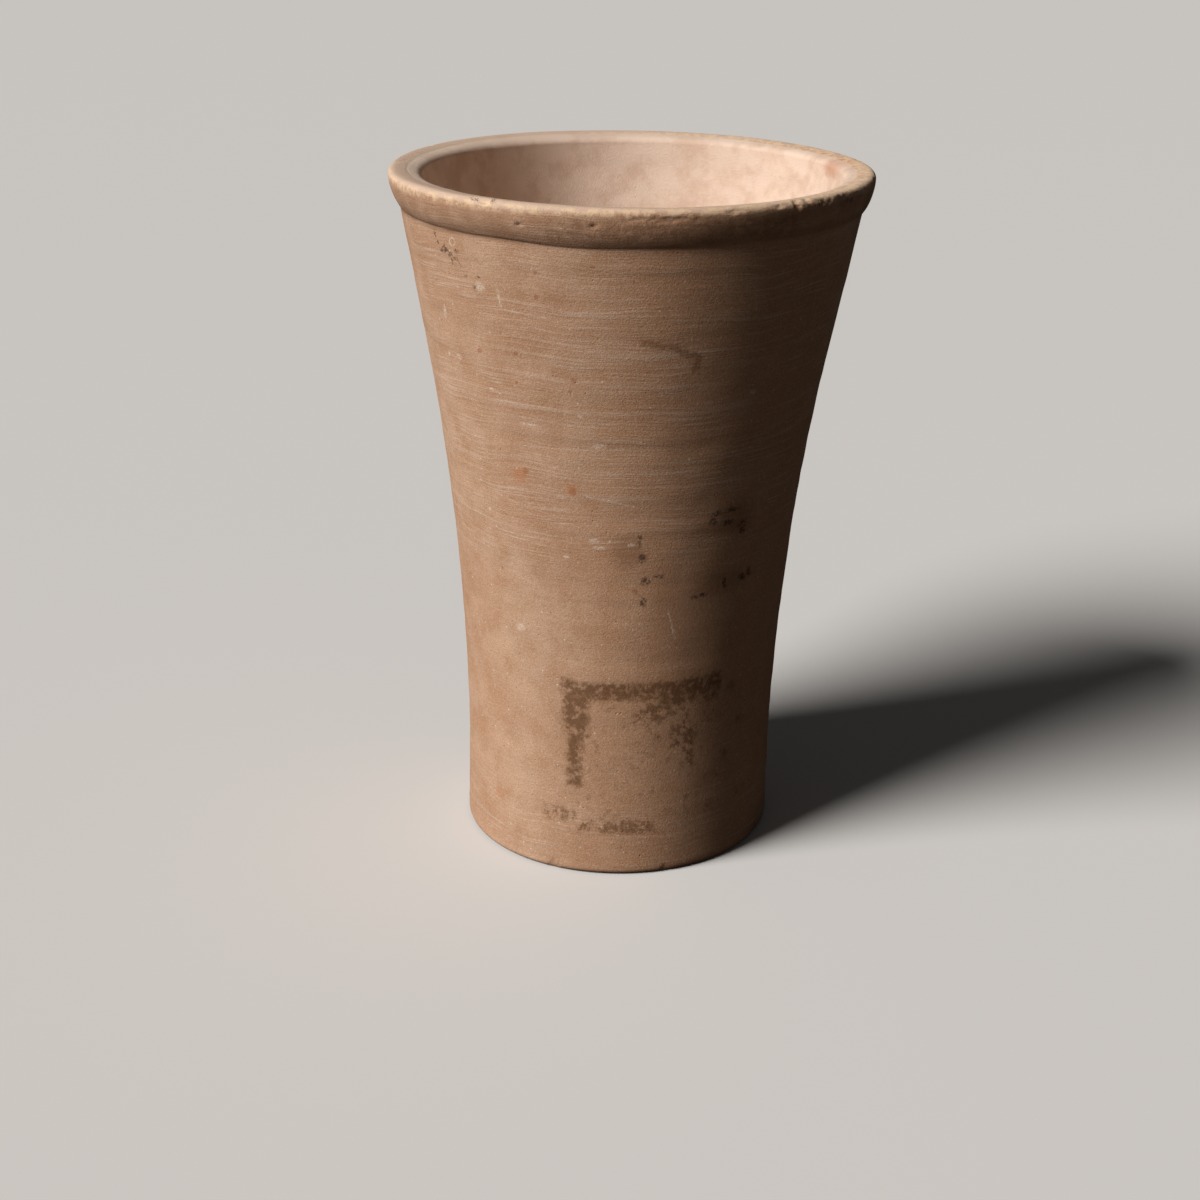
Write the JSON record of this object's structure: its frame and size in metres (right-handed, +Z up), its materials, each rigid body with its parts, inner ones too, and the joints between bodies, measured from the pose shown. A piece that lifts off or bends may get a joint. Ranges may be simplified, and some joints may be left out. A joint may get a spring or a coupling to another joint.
{
  "type": "conical vase",
  "caption": "Conical clay vase with a flat foot, straight lower wall, flared upper wall and thick rim collar, open at the top to hold goods.",
  "frame": {"origin": "centre of the flat foot, on the surface that the vase stands on", "axes": "+Z up from the foot to the mouth; +X towards the side that the mouth leans to; -Y towards the viewer in the picture"},
  "size_m": [0.104, 0.104, 0.1525],
  "materials": {
    "fired_clay": "matte, unglazed"
  },
  "bodies": {
    "root": {"base_cup": "fired_clay", "lower_wall": "fired_clay", "upper_wall": "fired_clay", "rim_collar": "fired_clay"}
  },
  "joints": []
}
